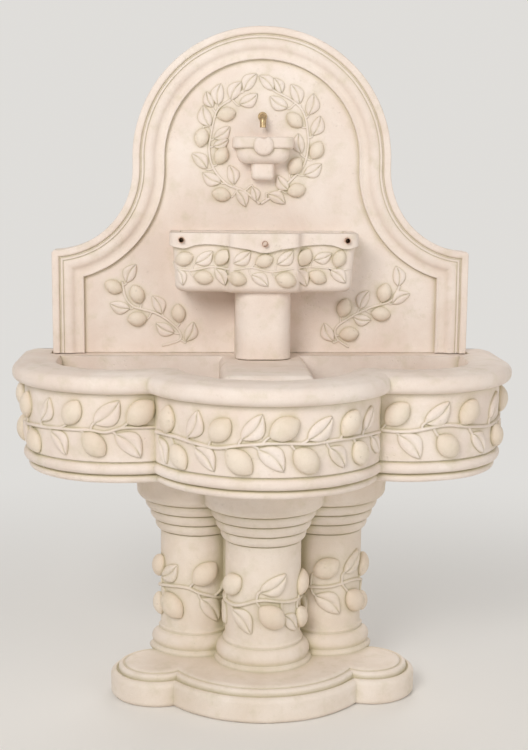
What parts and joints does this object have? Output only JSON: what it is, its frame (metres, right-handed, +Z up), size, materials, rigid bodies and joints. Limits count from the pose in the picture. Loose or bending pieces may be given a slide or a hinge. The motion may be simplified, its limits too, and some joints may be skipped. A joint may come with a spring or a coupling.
{
  "type": "garden wall fountain",
  "caption": "Cast stone garden wall fountain: trefoil basin on a clustered-column pedestal, arched backplate, trough and spill bowl, with pump and hose inside.",
  "frame": {"origin": "on the floor, midway between the sides and midway between the wall and the basin's front", "axes": "+Z up, the wall at +Y, the basin's front at -Y, +X to the right as seen from the front"},
  "size_m": [1.112, 0.5649, 1.4799],
  "materials": {
    "stone": "matte",
    "copper": "satin",
    "brass": "satin",
    "hose": "satin",
    "rubber": "matte",
    "steel": "satin",
    "pump_plastic": "matte",
    "impeller_plastic": "satin",
    "ceramic": "satin",
    "magnet": "satin"
  },
  "bodies": {
    "fountain": {"pedestal": "stone", "basin": "stone", "backplate": "stone", "trough": "stone", "trough_column": "stone", "pump_cover": "stone", "spill_bowl": "stone", "spill_bowl_bracket": "stone", "trough_spout_left": "copper", "trough_spout_centre": "copper", "trough_spout_right": "copper", "top_spout": "copper", "spout_collar": "brass", "spout_elbow": "brass", "supply_hose": "hose", "hose_clamp_lower": "steel", "hose_clamp_upper": "steel", "pump_housing": "pump_plastic", "pump_intake_cover": "pump_plastic", "pump_gasket": "rubber", "shaft_bush_front": "rubber", "shaft_bush_rear": "rubber", "impeller_shaft": "ceramic", "outlet_adapter": "impeller_plastic", "suction_feet": "rubber", "cord_gland": "rubber", "drain_fitting": "brass", "drain_gasket": "rubber", "drain_locknut": "brass", "backplate_dowels": "steel", "trough_dowels": "steel", "spill_bowl_dowels": "steel", "bracket_dowel": "steel", "hanger_plate_left": "steel", "hanger_plate_right": "steel", "hanger_screws": "steel"},
    "rotor": {"impeller": "impeller_plastic", "rotor_magnet": "magnet"},
    "regulator": {"flow_regulator": "impeller_plastic"},
    "stopper": {"drain_stopper": "rubber"}
  },
  "joints": [
    {"name": "impeller_spin", "type": "hinge", "parent": "fountain", "child": "rotor", "pos_m": [0, 0.1525, 0.6], "axis": [1, 0, 0], "continuous": true},
    {"name": "regulator_turn", "type": "hinge", "parent": "fountain", "child": "regulator", "pos_m": [0, 0.1525, 0.6], "axis": [1, 0, 0], "range_deg": [0, 45]},
    {"name": "stopper_lift", "type": "slide", "parent": "fountain", "child": "stopper", "axis": [0, 0, 1], "range_m": [0, 0.06]}
  ]
}
